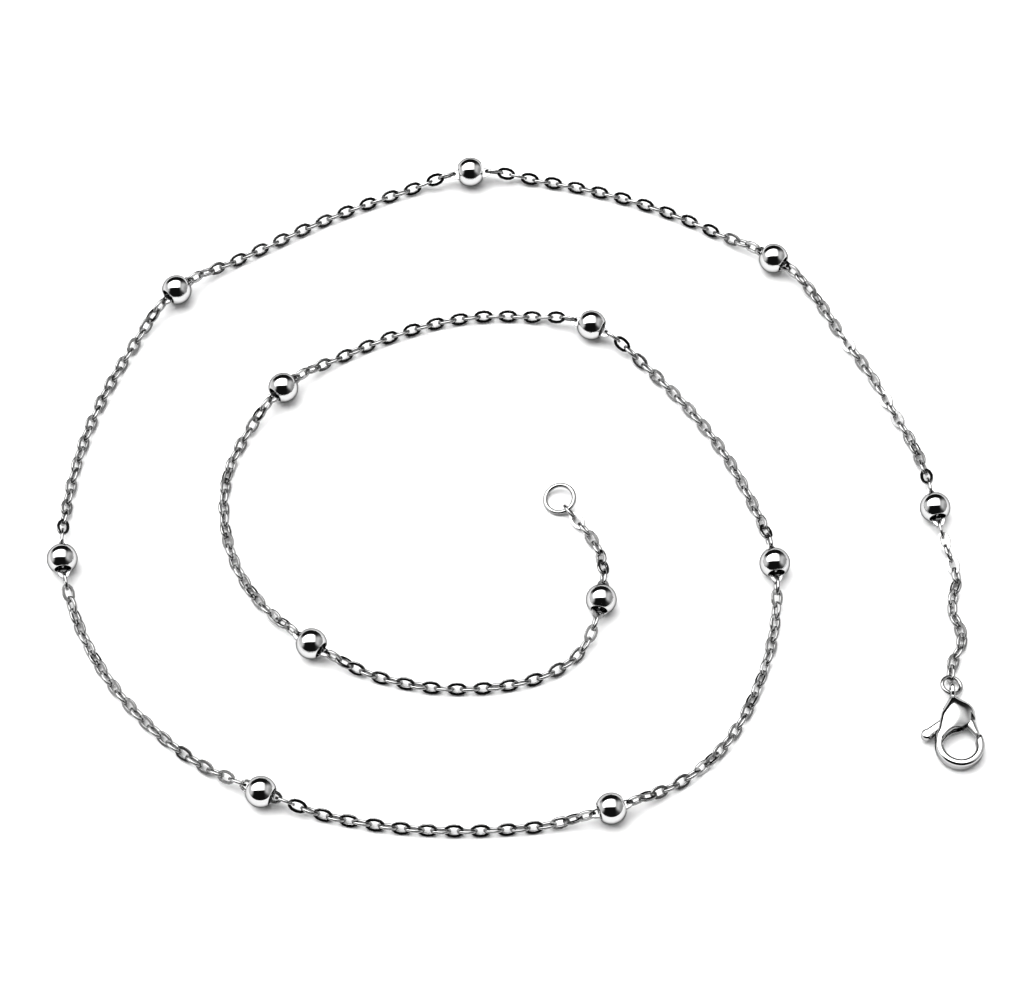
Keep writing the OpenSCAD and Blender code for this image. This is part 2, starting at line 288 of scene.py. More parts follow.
def polished_steel(name, hex_value, rim, roughness, marks_mm, depth_mm):
    """Polished stainless steel with fine marks from the tumbling barrel or the buffing wheel.

    The eye gets hard, high-contrast reflections with slightly wavering edges, a faint haze
    that changes from place to place, and a painted shade on the outline: the specular tint greys
    the reflection off towards the rim, where real steel grows brighter. rim is the share of light
    that is left near the outline, as painted shade, and the marks have a spacing and a depth.
    They are drawn coarser than real ones, to show.
    """
    haze_mm = 8 * marks_mm
    if name in bpy.data.materials:
        return bpy.data.materials[name]
    material = bpy.data.materials.new(name)
    material.use_nodes = True
    tree = material.node_tree
    tree.nodes.clear()
    place = add(tree, "ShaderNodeTexCoord").outputs["Object"]
    marks = add(tree, "ShaderNodeTexNoise", {
        "Vector": place, "Scale": 1 / (marks_mm * MM), "Detail": 3.0, "Roughness": 0.55})
    haze = add(tree, "ShaderNodeTexNoise", {
        "Vector": place, "Scale": 1 / (haze_mm * MM), "Detail": 2.0, "Roughness": 0.5})
    spread = add(tree, "ShaderNodeMapRange", {
        "Value": haze.outputs["Fac"], "From Min": 0.3, "From Max": 0.7,
        "To Min": roughness * 0.7, "To Max": roughness * 1.5})
    bump = add(tree, "ShaderNodeBump", {
        "Height": marks.outputs["Fac"], "Strength": 1.0, "Distance": depth_mm * MM})
    # Specular Tint below white darkens the reflection at grazing angles: painted shade on the outline
    shader = add(tree, "ShaderNodeBsdfPrincipled", {
        "Base Color": linear(hex_value), "Specular Tint": (rim, rim, rim, 1), "Metallic": 1.0,
        "Roughness": spread.outputs["Result"], "Normal": bump.outputs["Normal"]})
    add(tree, "ShaderNodeOutputMaterial", {"Surface": shader.outputs["BSDF"]})
    return material


def drawn_wire():
    """Stainless wire, bent, pressed and barrel polished: faces flash white or turn dark."""
    return polished_steel(
        "Barrel polished wire", bpy.context.scene.necklace_chain.colour,
        # rim: painted shade, the wire's reflection greyed towards its outline
        rim=0.4, roughness=0.07, marks_mm=0.35, depth_mm=0.012)


def mirror_bead():
    """Stainless beads, turned and buffed to a mirror: they show the dark room and the panel."""
    return polished_steel(
        "Mirror buffed bead steel", bpy.context.scene.necklace_bead.colour,
        # rim: painted shade, the beads' reflection darkened almost to black at the outline
        rim=0.08, roughness=0.05, marks_mm=0.5, depth_mm=0.002)


def tumbled_casting():
    """Cast stainless clasp, tumbled: pale, with broad soft highlights, faintly uneven."""
    return polished_steel(
        "Tumbled cast steel", bpy.context.scene.necklace_clasp.colour,
        # rim: painted shade, the clasp's reflection greyed towards its outline
        rim=0.3, roughness=0.1, marks_mm=0.9, depth_mm=0.003)


def new_object(name, points, faces, material):
    """A smooth-shaded mesh object at the origin, with outward faces."""
    mesh = bpy.data.meshes.new(name)
    mesh.from_pydata([tuple(p) for p in points], [], [tuple(f) for f in faces])
    mesh.polygons.foreach_set("use_smooth", [True] * len(mesh.polygons))
    mesh.materials.append(material)
    mesh.update()
    piece = bpy.data.objects.new(name, mesh)
    bpy.context.scene.collection.objects.link(piece)
    return piece


def settle(piece, body, node):
    """The finished piece moves with its body and stands for the node, which is hidden."""
    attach(piece, body)
    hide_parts(node)


class Lay:
    """The chain's line on the table: places, heights and rolls at a distance along it."""

    def __init__(self, chain, bead, ring):
        self.pitch = chain.link_len - 2 * chain.link_wire - chain.link_gap
        self.bend_r = (chain.link_w - chain.link_wire) / 2
        self.chain, self.bead = chain, bead
        self.links = chain.to_clasp + chain.between * (BEADS - 1) + chain.to_ring + 1
        grip = chain.link_len / 2 - chain.link_wire - chain.link_gap
        self.first = grip - ring.jump_wire / 2
        self.length = self.first + (self.links - 1) * self.pitch + grip - ring.ring_wire / 2
        self.rest_h = self.bend_r * math.sin(chain.roll_max) + chain.link_wire / 2
        path = self.spline_points()
        steps = np.linalg.norm(np.diff(path, axis=0), axis=1)
        self.run = np.concatenate([[0], np.cumsum(steps)])
        fit = self.length / self.run[-1]
        self.run *= fit
        self.path = path * fit - np.array(ROUTE_MID)
        self.start_dir = (path[1] - path[0]) / steps[0]
        self.end_dir = (path[-1] - path[-2]) / steps[-1]

    @staticmethod
    def spline_points():
        """A smooth curve through the route's points."""
        route = np.array(ROUTE)
        knots = np.concatenate([[2 * route[0] - route[1]], route, [2 * route[-1] - route[-2]]])
        t = np.linspace(0, 1, ROUTE_STEPS, endpoint=False)[:, None]
        spans = [
            (2 * b + (c - a) * t
             + (2 * a - 5 * b + 4 * c - d) * t ** 2
             + (3 * b - a - 3 * c + d) * t ** 3) / 2
            for a, b, c, d in zip(knots, knots[1:], knots[2:], knots[3:])]
        return np.concatenate(spans + [route[-1:]])

    def link_s(self, k):
        """Distance of link k's middle along the line."""
        return self.first + k * self.pitch

    def bead_s(self, i):
        """Distance of bead i's middle along the line."""
        return self.link_s(self.chain.to_clasp + self.chain.between * (i - 1))

    def nearest_bead(self, s):
        """Number of the bead nearest to distance s."""
        turn = math.floor((s - self.bead_s(1)) / (self.chain.between * self.pitch) + 0.5)
        return min(max(turn, 0), BEADS - 1) + 1

    def from_bead(self, s):
        """Distance along the line from s to the middle of the nearest bead."""
        return abs(s - self.bead_s(self.nearest_bead(s)))

    def at(self, s):
        """The point on the chain's line at distance s, straight on past its ends."""
        plan = np.array([np.interp(s, self.run, self.path[:, i]) for i in (0, 1)])
        plan += min(s, 0) * self.start_dir + max(s - self.length, 0) * self.end_dir
        sunk = self.bead.level_run + self.bead.sink_run
        lift = fade(self.from_bead(s), self.bead.level_run, sunk)
        return Vector((plan[0], plan[1], self.rest_h + (self.bead.bead_d / 2 - self.rest_h) * lift))

    def roll(self, k):
        """Roll of link k about the chain's line, in degrees: 0 lies flat, 90 stands up."""
        s = self.link_s(k)
        steepest = math.degrees(self.chain.roll_max)
        stretch = min(max((k - self.chain.to_clasp) // self.chain.between + 2, 1), STRETCHES)
        wave = sum(share * sin_deg(turn * k) for share, turn in WANDER_WAVES)
        wander = WANDER[stretch - 1] * wave
        wander *= 1 - fade(min(self.from_bead(s), s, self.length - s), 0, END_RUN)
        ends = (LINK_LEAN - steepest) * (fade(s, 0, END_RUN) - fade(self.length - s, 0, END_RUN))
        twist = BEAD_TWIST[self.nearest_bead(s) - 1] * fade(self.from_bead(s), TWIST_FROM, TWIST_TO)
        return (LINK_LEAN if k % 2 else -LINK_LEAN) + wander + ends + twist

    def links_of(self, stretch):
        """First and last link of a stretch, which holds the link inside its first bead."""
        starts = [self.chain.to_clasp + self.chain.between * i for i in range(BEADS)]
        starts = [0] + starts + [self.links]
        return range(starts[stretch - 1], starts[stretch])


def sin_deg(degrees):
    """Sine of an angle in degrees."""
    return math.sin(math.radians(degrees))


def fade(x, a, b):
    """Falls smoothly from 1 to 0 as x goes from a to b."""
    t = min(max((x - a) / (b - a), 0), 1)
    return 1 - t * t * (3 - 2 * t)


def lay_out():
    """The chain's line for the sizes that are set now."""
    scene = bpy.context.scene
    return Lay(scene.necklace_chain, scene.necklace_bead, scene.necklace_ring)


def link_tree():
    """Geometry nodes: a wire link on each edge of a chain of joints, rolled by the edge's roll."""
    tree = bpy.data.node_groups.new("Links on joints", "GeometryNodeTree")
    face = tree.interface
    face.new_socket("Joints", in_out="INPUT", socket_type="NodeSocketGeometry")
    for name in ("Link length", "Link width", "Roundness", "Wire", "Flattened", "Side bulge"):
        face.new_socket(name, in_out="INPUT", socket_type="NodeSocketFloat")
    face.new_socket("Bend steps", in_out="INPUT", socket_type="NodeSocketInt")
    face.new_socket("Material", in_out="INPUT", socket_type="NodeSocketMaterial")
    face.new_socket("Links", in_out="OUTPUT", socket_type="NodeSocketGeometry")
    given = add(tree, "NodeGroupInput").outputs
    maths = maths_in(tree)

    # The link's line: two half rings of evenly stepped points, pushed apart by the sides
    half = maths("ADD", given["Bend steps"], 1)
    bend_r = maths("MULTIPLY", maths("SUBTRACT", given["Link width"], given["Wire"]), 0.5)
    straight = maths("SUBTRACT", given["Link length"], given["Link width"])
    index = add(tree, "GeometryNodeInputIndex").outputs["Index"]
    end = maths("FLOOR", maths("DIVIDE", maths("ADD", index, 0.5), half))
    on_end = maths("SUBTRACT", index, maths("MULTIPLY", end, half))
    step = maths("DIVIDE", on_end, given["Bend steps"])
    turn = maths("MULTIPLY", maths("ADD", maths("SUBTRACT", step, 0.5), end), math.pi)
    sideways = maths("SUBTRACT", 1, maths("ABSOLUTE", maths("COSINE", turn)))
    bow = maths("SUBTRACT", 1, maths("MULTIPLY", sideways, given["Roundness"]))
    push = maths("MULTIPLY", maths("MULTIPLY", straight, maths("SUBTRACT", 0.5, end)), bow)
    point = add(tree, "ShaderNodeCombineXYZ", {
        "X": maths("ADD", maths("MULTIPLY", maths("COSINE", turn), bend_r), push),
        "Y": maths("MULTIPLY", maths("SINE", turn), bend_r)})
    ring = add(tree, "GeometryNodeCurvePrimitiveCircle", {
        "Resolution": maths("MULTIPLY", half, 2), "Radius": bend_r})
    line = add(tree, "GeometryNodeSetPosition", {
        "Geometry": ring.outputs["Curve"], "Position": point.outputs["Vector"]})
    level = add(tree, "GeometryNodeSetCurveNormal", {
        "Curve": line.outputs["Geometry"]}, mode="Z_UP")

    # The wire's section: three points on its outer side and three on its inner, with pressed
    # faces between them, which alone are shaded flat
    side = maths("FLOOR", maths("DIVIDE", maths("ADD", index, 0.5), 3))
    outward = maths("SUBTRACT", 1, maths("MULTIPLY", side, 2))
    rise = maths("SUBTRACT", maths("SUBTRACT", index, maths("MULTIPLY", side, 3)), 1)
    reach_out = maths("SUBTRACT", maths("MULTIPLY", given["Wire"], 0.5),
                      maths("MULTIPLY", maths("ABSOLUTE", rise), given["Side bulge"]))
    half_flat = maths("MULTIPLY", given["Flattened"], 0.5)
    corner = add(tree, "ShaderNodeCombineXYZ", {
        "X": maths("MULTIPLY", outward, reach_out),
        "Y": maths("MULTIPLY", maths("MULTIPLY", outward, rise), half_flat)})
    six = add(tree, "GeometryNodeCurvePrimitiveCircle", {"Resolution": 6, "Radius": given["Wire"]})
    section = add(tree, "GeometryNodeSetPosition", {
        "Geometry": six.outputs["Curve"], "Position": corner.outputs["Vector"]})
    wire = add(tree, "GeometryNodeCurveToMesh", {
        "Curve": level.outputs["Curve"], "Profile Curve": section.outputs["Geometry"]})
    normal = add(tree, "GeometryNodeInputNormal").outputs["Normal"]
    facing = add(tree, "ShaderNodeSeparateXYZ", {"Vector": normal})
    round_side = add(tree, "FunctionNodeCompare", {
        0: maths("ABSOLUTE", facing.outputs["Z"]), 1: PRESSED_FACING}, operation="LESS_THAN")
    link = add(tree, "GeometryNodeSetShadeSmooth", {
        "Geometry": wire.outputs["Mesh"], "Shade Smooth": round_side.outputs["Result"]})

    # One link in the middle of each edge, its length along it and its width level, then rolled
    ends = add(tree, "GeometryNodeInputMeshEdgeVertices").outputs
    reach = add(tree, "ShaderNodeVectorMath", {0: ends["Position 2"], 1: ends["Position 1"]},
                operation="SUBTRACT").outputs["Vector"]
    roll = add(tree, "GeometryNodeInputNamedAttribute", {"Name": "roll"}, data_type="FLOAT")
    kept = add(tree, "GeometryNodeCaptureAttribute", domain="EDGE")
    kept.capture_items.new("VECTOR", "Reach")
    kept.capture_items.new("FLOAT", "Roll")
    tree.links.new(given["Joints"], kept.inputs["Geometry"])
    tree.links.new(reach, kept.inputs["Reach"])
    tree.links.new(roll.outputs["Attribute"], kept.inputs["Roll"])
    places = add(tree, "GeometryNodeMeshToPoints", {"Mesh": kept.outputs["Geometry"]}, mode="EDGES")
    aim = add(tree, "FunctionNodeAxesToRotation", {
        "Primary Axis": kept.outputs["Reach"], "Secondary Axis": (0, 0, 1)},
        primary_axis="X", secondary_axis="Z")
    tip = add(tree, "FunctionNodeAxisAngleToRotation", {
        "Axis": (1, 0, 0), "Angle": kept.outputs["Roll"]})
    turned = add(tree, "FunctionNodeRotateRotation", {
        "Rotation": aim.outputs["Rotation"], "Rotate By": tip.outputs["Rotation"]},
        rotation_space="LOCAL")
    links = add(tree, "GeometryNodeInstanceOnPoints", {
        "Points": places.outputs["Points"], "Instance": link.outputs["Geometry"],
        "Rotation": turned.outputs["Rotation"]})
    real = add(tree, "GeometryNodeRealizeInstances", {"Geometry": links.outputs["Instances"]})
    painted = add(tree, "GeometryNodeSetMaterial", {
        "Geometry": real.outputs["Geometry"], "Material": given["Material"]})
    add(tree, "NodeGroupOutput", {"Links": painted.outputs["Geometry"]})
    return tree


def grow(base, tree, values, name):
    """Runs the tree on the base object and returns the result as a plain object."""
    modifier = base.modifiers.new("Links", "NODES")
    modifier.node_group = tree
    sockets = {
        item.name: item.identifier for item in tree.interface.items_tree if item.in_out == "INPUT"}
    for key, value in values.items():
        modifier[sockets[key]] = value
    graph = bpy.context.evaluated_depsgraph_get()
    mesh = bpy.data.meshes.new_from_object(base.evaluated_get(graph), depsgraph=graph)
    mesh.name = name
    base.modifiers.remove(modifier)
    bpy.data.objects.remove(base)
    piece = bpy.data.objects.new(name, mesh)
    bpy.context.scene.collection.objects.link(piece)
    return piece


def turned_part(name, profile, segments, place, material):
    """A closed profile of (x, radius) points spun about the place's x axis."""
    around = np.linspace(0, 2 * math.pi, segments, endpoint=False)
    x, r = np.array(profile).T
    rings = np.stack(
        [np.tile(x, (segments, 1)), np.outer(np.cos(around), r), np.outer(np.sin(around), r)], -1)
    count = len(profile)
    faces = [
        (i * count + j, i * count + (j + 1) % count, (i + 1) % segments * count + (j + 1) % count,
         (i + 1) % segments * count + j)
        for i in range(segments) for j in range(count)]
    points = [place @ Vector(p) for p in rings.reshape(-1, 3)]
    return new_object(name, points, faces, material)


def arc(mid, radius, start, end, steps):
    """Points of an arc in the (x, radius) plane, angles in radians from the x axis."""
    return [
        (mid[0] + radius * math.cos(a), mid[1] + radius * math.sin(a))
        for a in np.linspace(start, end, steps)]


def wire_ring(name, outer_d, wire, steps, place):
    """A ring of round wire that lies level in its place."""
    around, section = steps
    ring_r = (outer_d - wire) / 2
    profile = arc((0, ring_r), wire / 2, 0, 2 * math.pi, section + 1)[:-1]
    upright = Matrix.Rotation(math.pi / 2, 4, "Y")
    return turned_part(name, profile, around, place @ upright, drawn_wire())


def frame_at(place, ahead):
    """Matrix that puts x along the direction ahead, with y level."""
    x = Vector(ahead).normalized()
    y = Vector((-x.y, x.x, 0)).normalized()
    return Matrix.Translation(place) @ Matrix((x, y, x.cross(y))).transposed().to_4x4()


class NECKLACE_OT_chain(bpy.types.Operator):
    """Makes the links of every stretch of the chain"""
    bl_idname = "necklace.chain"
    bl_label = "Chain links"

    def execute(self, context):
        lay = lay_out()
        chain = lay.chain
        tree = link_tree()
        for stretch in range(1, STRETCHES + 1):
            links = lay.links_of(stretch)
            joints = [lay.at(lay.link_s(k) - lay.pitch / 2) for k in links]
            joints.append(lay.at(lay.link_s(links[-1]) + lay.pitch / 2))
            mesh = bpy.data.meshes.new("joints")
            mesh.from_pydata(joints, [(i, i + 1) for i in range(len(links))], [])
            rolls = [math.radians(lay.roll(k)) for k in links]
            mesh.attributes.new("roll", "FLOAT", "EDGE").data.foreach_set("value", rolls)
            base = bpy.data.objects.new("joints", mesh)
            context.scene.collection.objects.link(base)
            piece = grow(base, tree, {
                "Link length": chain.link_len, "Link width": chain.link_w,
                "Roundness": chain.roundness, "Wire": chain.link_wire,
                "Flattened": chain.flat_t, "Side bulge": SIDE_BULGE * chain.link_wire,
                "Bend steps": BEND_STEPS, "Material": drawn_wire()}, f"links_{stretch:02d}")
            settle(piece, BODY, f"chain_{stretch:02d}")
        return {"FINISHED"}


class NECKLACE_OT_beads(bpy.types.Operator):
    """Makes the drilled steel beads"""
    bl_idname = "necklace.beads"
    bl_label = "Beads"

    def execute(self, context):
        lay = lay_out()
        bead = lay.bead
        radius, rim = bead.bead_d / 2, bead.rim
        around, outside, rim_steps = BEAD_STEPS
        bore = lay.chain.link_w / 2 + bead.play
        rim_x = math.sqrt((radius - rim) ** 2 - (bore + rim) ** 2)
        rim_turn = math.atan2(bore + rim, rim_x)
        profile = (
            arc((rim_x, bore + rim), rim, -math.pi / 2, rim_turn, rim_steps)[:-1]
            + arc((0, 0), radius, rim_turn, math.pi - rim_turn, outside)
            + arc((-rim_x, bore + rim), rim, math.pi - rim_turn, 1.5 * math.pi, rim_steps)[1:])
        for i in range(1, BEADS + 1):
            s, half = lay.bead_s(i), 0.2 * MM
            place = frame_at(lay.at(s), lay.at(s + half) - lay.at(s - half))
            piece = turned_part(f"steel_bead_{i:02d}", profile, around, place, mirror_bead())
            settle(piece, BODY, f"bead_{i:02d}")
        return {"FINISHED"}


class NECKLACE_OT_rings(bpy.types.Operator):
    """Makes the end ring and the ring at the clasp"""
    bl_idname = "necklace.rings"
    bl_label = "Rings"

    def execute(self, context):
        lay, ring = lay_out(), context.scene.necklace_ring
        ring_r = (ring.ring_od - ring.ring_wire) / 2
        tilt = math.asin((lay.rest_h - ring.ring_wire / 2) / ring_r)
        end_place = frame_at(lay.at(lay.length + ring_r), (*lay.end_dir, 0))
        end_place = end_place @ Matrix.Rotation(-tilt, 4, "X")
        piece = wire_ring("end_ring_wire", ring.ring_od, ring.ring_wire, END_RING_STEPS, end_place)
        settle(piece, BODY, "end_ring")
        place, _ = clasp_frame(lay)
        piece = wire_ring("clasp_ring_wire", ring.jump_od, ring.jump_wire, CLASP_RING_STEPS, place)
        settle(piece, BODY, "clasp_ring")
        return {"FINISHED"}


def clasp_frame(lay):
    """Place of the clasp's ring, and the point under the middle of the clasp's eye."""
    ring, clasp = bpy.context.scene.necklace_ring, bpy.context.scene.necklace_clasp
    jump_r = (ring.jump_od - ring.jump_wire) / 2
    hold_y, hold_h = EYE_HOLD[0] * MM, clasp.clasp_t / 2 + EYE_HOLD[1] * MM
    pitch = math.asin((hold_h - lay.rest_h) / (2 * jump_r))
    start = lay.at(0)
    eye = Vector((start.x, start.y - 2 * jump_r * math.cos(pitch) - hold_y, 0))
    mid = eye + Vector((0, hold_y + jump_r * math.cos(pitch), (hold_h + lay.rest_h) / 2))
    lean = Matrix.Rotation(ring.jump_roll, 4, "Y") @ Matrix.Rotation(-pitch, 4, "X")
    return Matrix.Translation(mid) @ lean, eye


def to_polygon(p, corners):
    """Signed distance in plan from points to a closed polygon, negative inside."""
    corners = np.array(corners, float)
    best = np.full(len(p), np.inf)
    inside = np.zeros(len(p), bool)
    for a, b in zip(corners, np.roll(corners, -1, axis=0)):
        edge, w = b - a, p - a
        t = np.clip(w @ edge / (edge @ edge), 0, 1)
        off = w - t[:, None] * edge
        best = np.minimum(best, (off ** 2).sum(1))
        crosses = (a[1] > p[:, 1]) != (b[1] > p[:, 1])
        if a[1] != b[1]:
            inside ^= crosses & (p[:, 0] < a[0] + (p[:, 1] - a[1]) * edge[0] / edge[1])
    return np.where(inside, -1, 1) * np.sqrt(best)


def outline(rounds):
    """Corners of the tight outline round some circles, anticlockwise."""
    turn = np.linspace(0, 2 * math.pi, 48, endpoint=False)
    rim = sorted((x + r * math.cos(a), y + r * math.sin(a)) for x, y, r in rounds for a in turn)

    def half_round(points):
        out = []
        for q in points:
            while len(out) > 1 and ((out[-1][0] - out[-2][0]) * (q[1] - out[-2][1])
                                    - (out[-1][1] - out[-2][1]) * (q[0] - out[-2][0])) <= 0:
                out.pop()
            out.append(q)
        return out[:-1]
    return np.array(half_round(rim) + half_round(rim[::-1]))


def pillow(p, height, rounds, half):
    """Near distance to a cushion-shaped form: its plan is the outline round some circles.

    The depth inside the outline is the mean of all its edges, weighed by the angle that each
    one spans and its distance, so that the top has no ridge.
    """
    corners = outline(rounds)
    flat = to_polygon(p, corners)
    pull = np.zeros(len(p))
    for a, b in zip(corners, np.roll(corners, -1, axis=0)):
        u, v = a - p, b - p
        edge = b - a
        cross = u[:, 0] * v[:, 1] - u[:, 1] * v[:, 0]
        spanned = np.arctan2(cross, (u * v).sum(1))
        off = np.maximum(cross / np.hypot(*edge), 1e-4)
        pull += np.maximum(spanned, 0) / off
    depth = np.where(flat < 0, math.pi / np.maximum(pull, 1e-6), -flat)
    full = PILLOW_FULL * (1 + PILLOW_LEAN * np.tanh(p[:, 0] - PILLOW_MID))
    short = np.clip(1 - depth / full, 0, None)
    share, lift = 1 - short ** PILLOW_RISE, np.abs(height) / half
    value = lift ** 2 - share
    slope = np.hypot(2 * lift / half, PILLOW_RISE * short ** (PILLOW_RISE - 1) / full)
    return value / np.maximum(slope, PILLOW_SLOPE)


def to_bar(p, a, b, half):
    """Signed distance in plan to a round-ended bar from a to b."""
    a, b = np.array(a, float), np.array(b, float)
    w, edge = p - a, b - a
    t = np.clip(w @ edge / (edge @ edge), 0, 1)
    return np.linalg.norm(w - t[:, None] * edge, axis=1) - half


def thick(flat, height, half, edge):
    """Gives a flat signed distance a thickness, with rounded edges."""
    u, v = flat + edge, np.abs(height) - half + edge
    outside = np.hypot(np.maximum(u, 0), np.maximum(v, 0))
    return outside + np.minimum(np.maximum(u, v), 0) - edge


def blend_in(a, b, k):
    """Union of two signed distances with a soft fillet of size k."""
    h = np.clip(0.5 + 0.5 * (b - a) / k, 0, 1)
    return b + (a - b) * h - k * h * (1 - h)


def cut_out(a, b, k):
    """Takes b out of a, with an edge softened by k."""
    return -blend_in(-a, b, k)


def turn_plan(p, degrees):
    """Points in plan, turned about the origin."""
    c, s = math.cos(math.radians(degrees)), math.sin(math.radians(degrees))
    return p @ np.array([[c, s], [-s, c]])


def unit(degrees):
    """Direction in plan, as a vector of length 1."""
    return np.array([math.cos(math.radians(degrees)), sin_deg(degrees)])


def half_plane(p, point, degrees):
    """Signed distance to the side on the left of a line through the point, negative there."""
    normal = np.array([-sin_deg(degrees), math.cos(math.radians(degrees))])
    return -(p - np.array(point)) @ normal


def hook_gap(plan):
    """Signed distance in plan to the part of the hook's ring that is left out, negative in it."""
    past_root = np.maximum(
        half_plane(plan, HOOK_MID, HOOK_MOUTH_TURN), -half_plane(plan, HOOK_MID, HOOK_ROOT_TURN))
    back = np.array(HOOK_END) - HOOK_END_BACK * unit(HOOK_END_TURN)
    past_end = np.maximum(
        half_plane(plan, HOOK_END, HOOK_END_TURN), -half_plane(plan, back, HOOK_END_TURN + 90))
    return np.minimum(past_root, past_end)


def clasp_body_field(p, clasp):
    """Signed distance in millimetres to the clasp's body, from points in its own frame."""
    half = clasp.clasp_t / MM / 2
    plan, height = p[:, :2], p[:, 2] - half
    from_hook = np.linalg.norm(plan - np.array(HOOK_MID), axis=1)
    opening = from_hook - (clasp.hook_r - clasp.hook_w) / MM
    shell = cut_out(pillow(plan, height, BODY_ROUNDS, half), opening, SOFT["opening"])
    upright = np.stack([p[:, 1], height], 1)
    hole = to_bar(upright, (-EYE_HOLE[0], 0), (EYE_HOLE[0], 0), EYE_HOLE[1])
    eye = to_bar(upright, (-EYE_OUTER[0], 0), (EYE_OUTER[0], 0), EYE_OUTER[1])
    eye = thick(cut_out(eye, hole, SOFT["eye hole"]), p[:, 0], EYE_T / 2, EYE_EDGE)
    half_bar = clasp.hook_w / MM / 2
    bar = np.abs(from_hook - clasp.hook_r / MM + half_bar) - half_bar
    hook = cut_out(bar, hook_gap(plan), SOFT["hook cut"])
    hook = thick(hook, height, clasp.hook_t / MM / 2, clasp.hook_edge / MM)
    solid = blend_in(blend_in(shell, hook, SOFT["hook"]), eye, SOFT["eye"])
    solid = cut_out(solid, np.maximum(hole, np.abs(p[:, 0]) - EYE_DRILLING), SOFT["drilling"])
    from_pivot, gap = plan - np.array(PIVOT), clasp.lever_gap / MM
    slot = np.linalg.norm(from_pivot, axis=1) - HUB_R - gap
    for swing in range(0, LEVER_SWING + 1, SWING_STEP):
        q = turn_plan(from_pivot, swing)
        slot = np.minimum(slot, to_bar(q, (0, 0), TAB_END, TAB_W / 2 + gap - TAB_TIGHT))
        slot = np.minimum(slot, to_polygon(q, GATE_SLOT))
    ahead = (plan - np.array(HOOK_MID)) @ unit(GROOVE_TURN)
    slot = np.minimum(slot, np.maximum(opening - GROOVE_DEPTH, GROOVE_FROM - ahead))
    slot = np.maximum(slot, np.abs(height) - clasp.lever_t / MM / 2 - gap)
    solid = cut_out(solid, slot, SOFT["slot"])
    pin = np.maximum(np.linalg.norm(from_pivot, axis=1) - PIN_R, np.abs(height) - half + PIN_DEPTH)
    return np.minimum(solid, pin)


def clasp_lever_field(p, clasp):
    """Signed distance in millimetres to the clasp's lever, from points in the clasp's frame."""
    height = p[:, 2] - clasp.clasp_t / MM / 2
    from_pivot = p[:, :2] - np.array(PIVOT)
    tab = to_bar(from_pivot, (0, 0), TAB_END, TAB_W / 2)
    tab_end = np.linalg.norm(from_pivot - np.array(TAB_END), axis=1) - TAB_END_R
    tab = blend_in(tab, tab_end, SOFT["tab end"])
    plan = np.minimum(tab, np.linalg.norm(from_pivot, axis=1) - HUB_R)
    plan = blend_in(plan, to_polygon(from_pivot, GATE), SOFT["gate"])
    edge, toward_gate = clasp.lever_edge / MM, np.clip(from_pivot[:, 0] / GATE_EDGE_AT, 0, 1)
    edge = edge + (GATE_EDGE - edge) * toward_gate
    lever = thick(plan, height, clasp.lever_t / MM / 2, edge)
    hole = np.linalg.norm(from_pivot, axis=1) - PIN_R - clasp.lever_gap / MM
    return cut_out(lever, hole, SOFT["pin hole"])


def skin(field, low, high, cell):
    """Points and faces of the closed surface where the field is zero, all in millimetres.

    One point goes in each grid cell that the surface crosses, and one face round each grid
    edge that it crosses. A few Newton steps then put the points on the surface itself.
    """
    at_once, tiny, longest_step = 200000, 1e-4, 0.3 * cell
    axes = [np.arange(a, b + cell, cell) for a, b in zip(low, high)]
    shape = [len(a) for a in axes]
    grid = np.stack(np.meshgrid(*axes, indexing="ij"), -1).reshape(-1, 3)
    parts = np.array_split(grid, len(grid) // at_once + 1)
    value = np.concatenate([field(part) for part in parts]).reshape(shape)
    value[value == 0] = 1e-9
    solid = value < 0
    cells = tuple(n - 1 for n in shape)
    total, count = np.zeros(cells + (3,)), np.zeros(cells)
    crossings = []
    for axis in range(3):
        step = np.eye(3, dtype=int)[axis]
        here = tuple(slice(0, n - d) for n, d in zip(shape, step))
        there = tuple(slice(d, n) for n, d in zip(shape, step))
        v0, v1 = value[here], value[there]
        at = np.argwhere(solid[here] != solid[there])
        t = v0[tuple(at.T)] / (v0[tuple(at.T)] - v1[tuple(at.T)])
        where = at + t[:, None] * step
        others = [i for i in range(3) if i != axis]
        around = np.zeros((len(at), 4, 3), int)
        for j, (du, dv) in enumerate(((0, 0), (1, 0), (1, 1), (0, 1))):
            corner = at.copy()
            corner[:, others[0]] -= du
            corner[:, others[1]] -= dv
            around[:, j] = corner
            np.add.at(total, tuple(corner.T), where)
            np.add.at(count, tuple(corner.T), 1)
        flip = solid[here][tuple(at.T)] ^ (axis == 1)
        around[~flip] = around[~flip][:, ::-1]
        crossings.append(around)
    used = count > 0
    number = np.cumsum(used).reshape(cells) - 1
    points = np.array(low) + (total[used] / count[used][:, None]) * cell
    quads = np.concatenate(crossings)
    faces = number[quads[..., 0], quads[..., 1], quads[..., 2]]
    for _ in range(3):
        here = field(points)
        rises = [field(points + d) - field(points - d) for d in np.eye(3) * tiny]
        slope = np.stack(rises, 1) / (2 * tiny)
        move = -here[:, None] * slope / np.maximum((slope ** 2).sum(1), 0.25)[:, None]
        far = np.linalg.norm(move, axis=1)
        points = points + move * np.minimum(1, longest_step / np.maximum(far, 1e-12))[:, None]
    return points, faces


def cast_piece(name, field, space):
    """A piece of the clasp, with its surface where the field is zero."""
    clasp = bpy.context.scene.necklace_clasp
    _, eye = clasp_frame(lay_out())
    points, faces = skin(lambda p: field(p, clasp), *space, clasp.cell / MM)
    return new_object(name, points * MM + np.array(eye), faces.tolist(), tumbled_casting())


